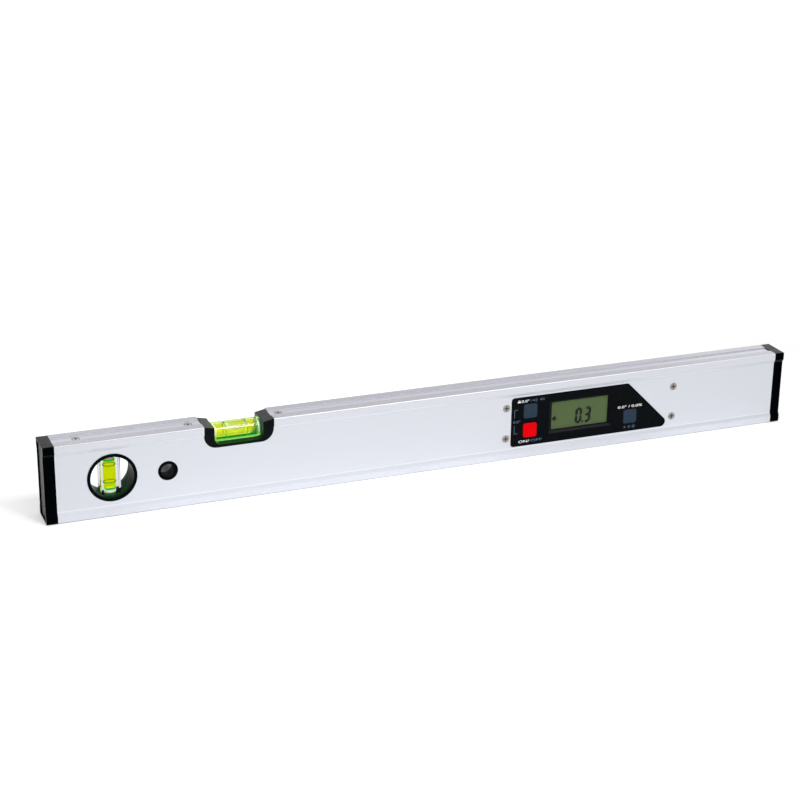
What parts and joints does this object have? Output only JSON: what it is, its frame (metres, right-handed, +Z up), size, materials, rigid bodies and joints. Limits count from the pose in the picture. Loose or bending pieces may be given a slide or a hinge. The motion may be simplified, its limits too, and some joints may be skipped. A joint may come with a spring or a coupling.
{
  "type": "digital spirit level",
  "caption": "Box-section aluminium spirit level with a lying vial, an upright vial in a round window, a hang hole and a battery-powered angle display with press keys.",
  "frame": {"origin": "middle of the lower measuring face", "axes": "+X along the length towards the display end, +Y from the display side to the battery side, +Z up from the lower measuring face"},
  "size_m": [0.6, 0.0242, 0.0592],
  "materials": {
    "anodised_aluminium": "satin anodised, fine lengthwise grain",
    "cap_plastic": "moulded, satin",
    "holder_plastic": "moulded, satin",
    "bezel_plastic": "moulded, fine grain",
    "tray_plastic": "moulded",
    "slate_key": "moulded, satin",
    "red_key": "moulded, satin",
    "stem_plastic": "moulded",
    "clear_acrylic": "polished clear",
    "vial_liquid": "clear fluorescent yellow-green",
    "ring_mark": "thin printed ring",
    "vial_plug": "moulded, translucent",
    "display_window": "polished clear",
    "lcd_glass": "olive-green liquid crystal",
    "light_guide": "diffusing",
    "contact_rubber": "layered conductive",
    "board_laminate": "solder resist",
    "package_plastic": "moulded package",
    "sensor_case": "metal lid",
    "switch_case": "moulded",
    "screw_steel": "nickel plated",
    "contact_steel": "nickel plated spring steel",
    "cell_jacket": "printed jacket"
  },
  "bodies": {
    "level_body": {"profile": "anodised_aluminium", "end_cap_left": "cap_plastic", "end_cap_right": "cap_plastic", "hang_bush_front": "holder_plastic", "hang_bush_back": "holder_plastic", "level_vial_cradle": "holder_plastic", "cradle_anchor_left": "holder_plastic", "cradle_anchor_right": "holder_plastic", "anchor_screws": "screw_steel", "level_vial_tube": "clear_acrylic", "level_vial_liquid": "vial_liquid", "level_vial_rings": "ring_mark", "level_vial_plugs": "vial_plug", "plumb_insert": "holder_plastic", "plumb_bezel_front": "holder_plastic", "plumb_bezel_back": "holder_plastic", "plumb_screw": "screw_steel", "plumb_vial_block": "clear_acrylic", "plumb_vial_liquid": "vial_liquid", "plumb_vial_rings": "ring_mark", "plumb_vial_plug": "vial_plug", "display_tray": "tray_plastic", "display_screws": "screw_steel", "display_bezel": "bezel_plastic", "display_lens": "display_window", "lcd_panel": "lcd_glass", "lcd_backlight": "light_guide", "lcd_contact_strips": "contact_rubber", "main_board": "board_laminate", "board_screws": "screw_steel", "tilt_sensor": "sensor_case", "controller_chip": "package_plastic", "buzzer": "package_plastic", "key_switches": "switch_case", "battery_cells": "cell_jacket", "battery_terminals": "contact_steel", "battery_bridge": "contact_steel"},
    "hold_key_body": {"hold_key": "slate_key", "hold_stem": "stem_plastic"},
    "power_key_body": {"power_key": "red_key", "power_stem": "stem_plastic"},
    "light_key_body": {"light_key": "slate_key", "light_stem": "stem_plastic"},
    "battery_cover_body": {"battery_cover": "bezel_plastic", "cover_screws": "screw_steel"}
  },
  "joints": [
    {"name": "hold_press", "type": "slide", "parent": "level_body", "child": "hold_key_body", "axis": [0, 1, 0], "range_m": [0, 0.0006], "stiffness_N_per_m": 2500},
    {"name": "power_press", "type": "slide", "parent": "level_body", "child": "power_key_body", "axis": [0, 1, 0], "range_m": [0, 0.0006], "stiffness_N_per_m": 2500},
    {"name": "light_press", "type": "slide", "parent": "level_body", "child": "light_key_body", "axis": [0, 1, 0], "range_m": [0, 0.0006], "stiffness_N_per_m": 2500},
    {"name": "cover_lift", "type": "slide", "parent": "level_body", "child": "battery_cover_body", "axis": [0, 1, 0], "range_m": [0, 0.03]}
  ]
}
